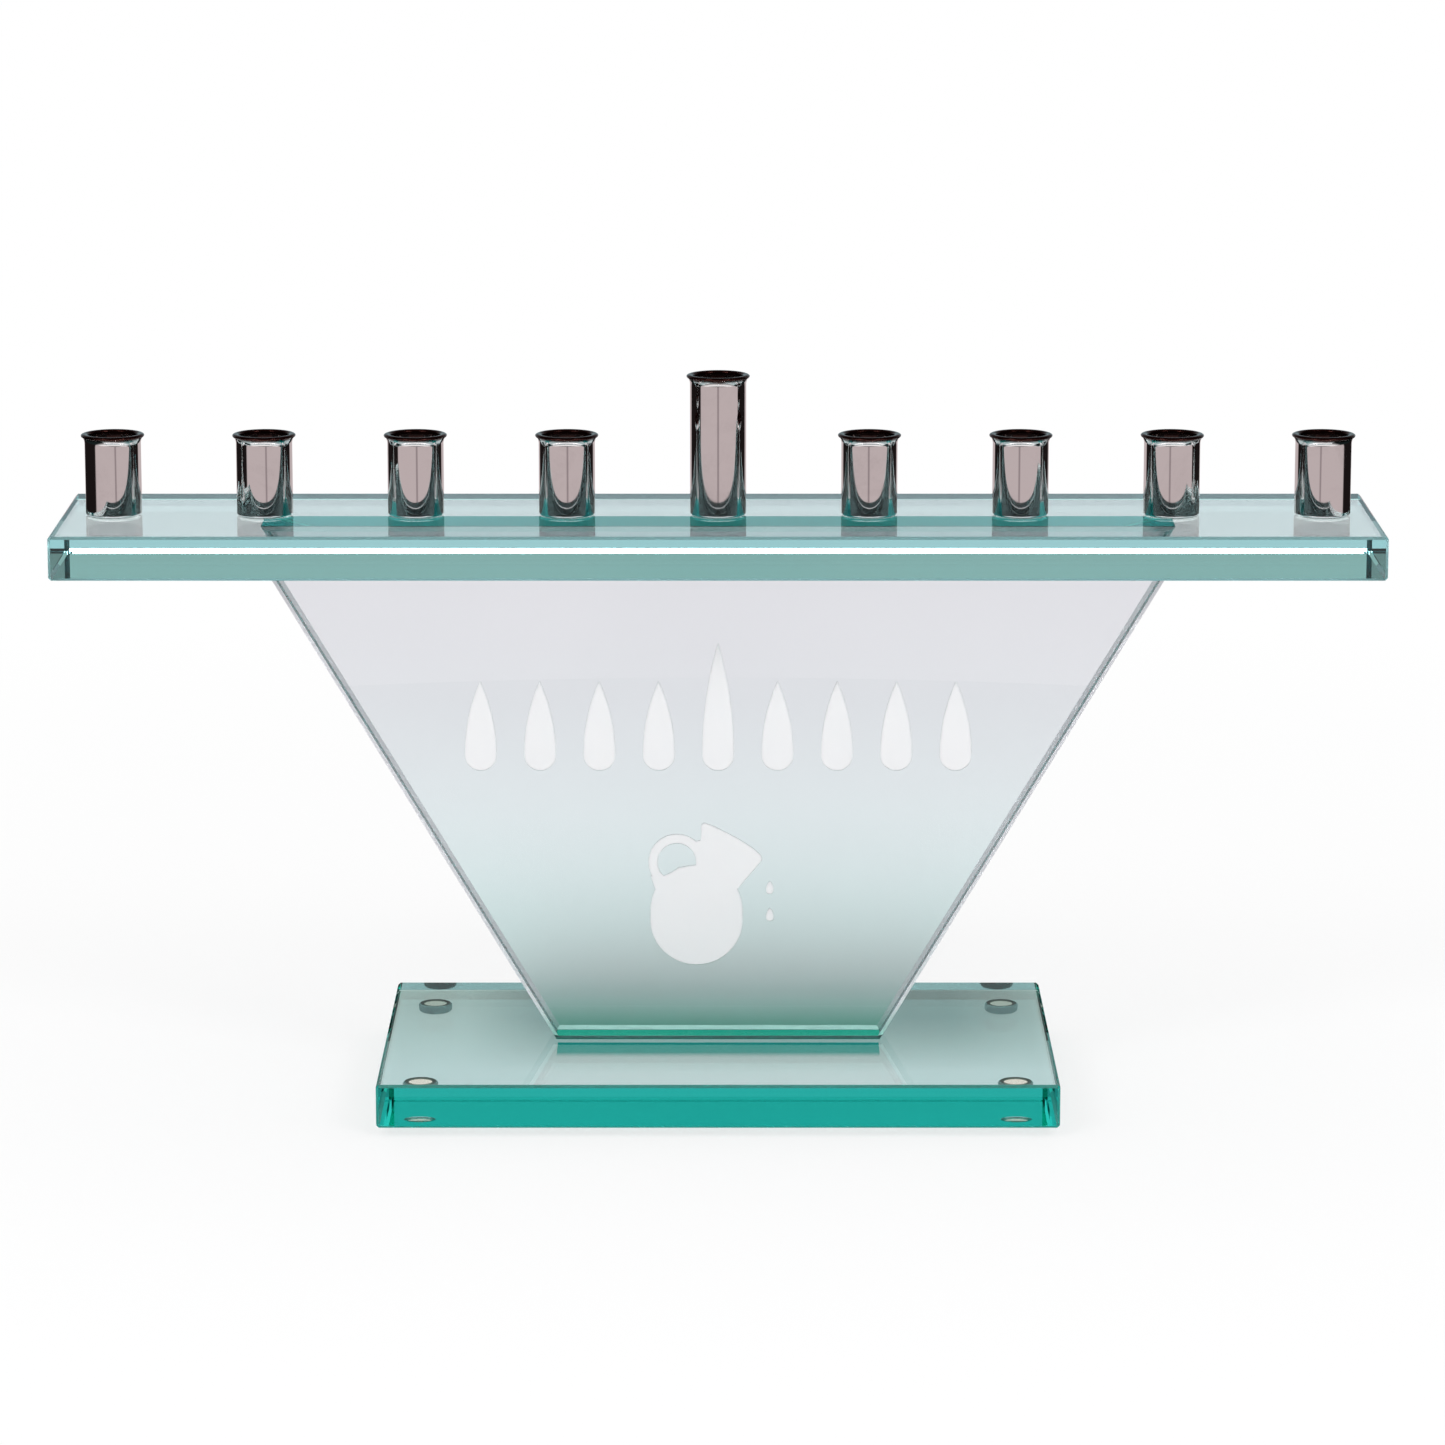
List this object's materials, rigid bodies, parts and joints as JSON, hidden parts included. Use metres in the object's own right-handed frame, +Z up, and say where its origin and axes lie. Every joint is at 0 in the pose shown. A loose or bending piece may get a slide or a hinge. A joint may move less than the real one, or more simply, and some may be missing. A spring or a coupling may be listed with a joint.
{
  "type": "menorah",
  "caption": "Glass Hanukkah menorah: a tapered frosted panel on a glass base carries a glass shelf with a row of polished candle cups and a taller servant cup.",
  "frame": {"origin": "on the table, under the middle of the base plate", "axes": "+X along the shelf to the right, +Y to the back, +Z up; the figured face looks to -Y"},
  "size_m": [0.3, 0.095, 0.1664],
  "materials": {
    "green_glass": "polished green-edged float glass with ground edges",
    "frosted_glass": "green-edged float glass, satin frosted behind, with sandblasted figures in front",
    "polished_metal": "mirror-polished plated metal",
    "clear_adhesive": "cured clear adhesive",
    "clear_bumper": "clear soft polyurethane"
  },
  "bodies": {
    "root": {"base_plate": "green_glass", "upright_panel": "frosted_glass", "candle_shelf": "green_glass", "lower_bond": "clear_adhesive", "upper_bond": "clear_adhesive", "candle_cup_1": "polished_metal", "candle_cup_2": "polished_metal", "candle_cup_3": "polished_metal", "candle_cup_4": "polished_metal", "candle_cup_5": "polished_metal", "candle_cup_6": "polished_metal", "candle_cup_7": "polished_metal", "candle_cup_8": "polished_metal", "servant_cup": "polished_metal", "cup_bond_1": "clear_adhesive", "cup_bond_2": "clear_adhesive", "cup_bond_3": "clear_adhesive", "cup_bond_4": "clear_adhesive", "cup_bond_5": "clear_adhesive", "cup_bond_6": "clear_adhesive", "cup_bond_7": "clear_adhesive", "cup_bond_8": "clear_adhesive", "servant_bond": "clear_adhesive", "foot_front_left": "clear_bumper", "foot_front_right": "clear_bumper", "foot_rear_left": "clear_bumper", "foot_rear_right": "clear_bumper", "foot_tape_front_left": "clear_adhesive", "foot_tape_front_right": "clear_adhesive", "foot_tape_rear_left": "clear_adhesive", "foot_tape_rear_right": "clear_adhesive"}
  },
  "joints": []
}
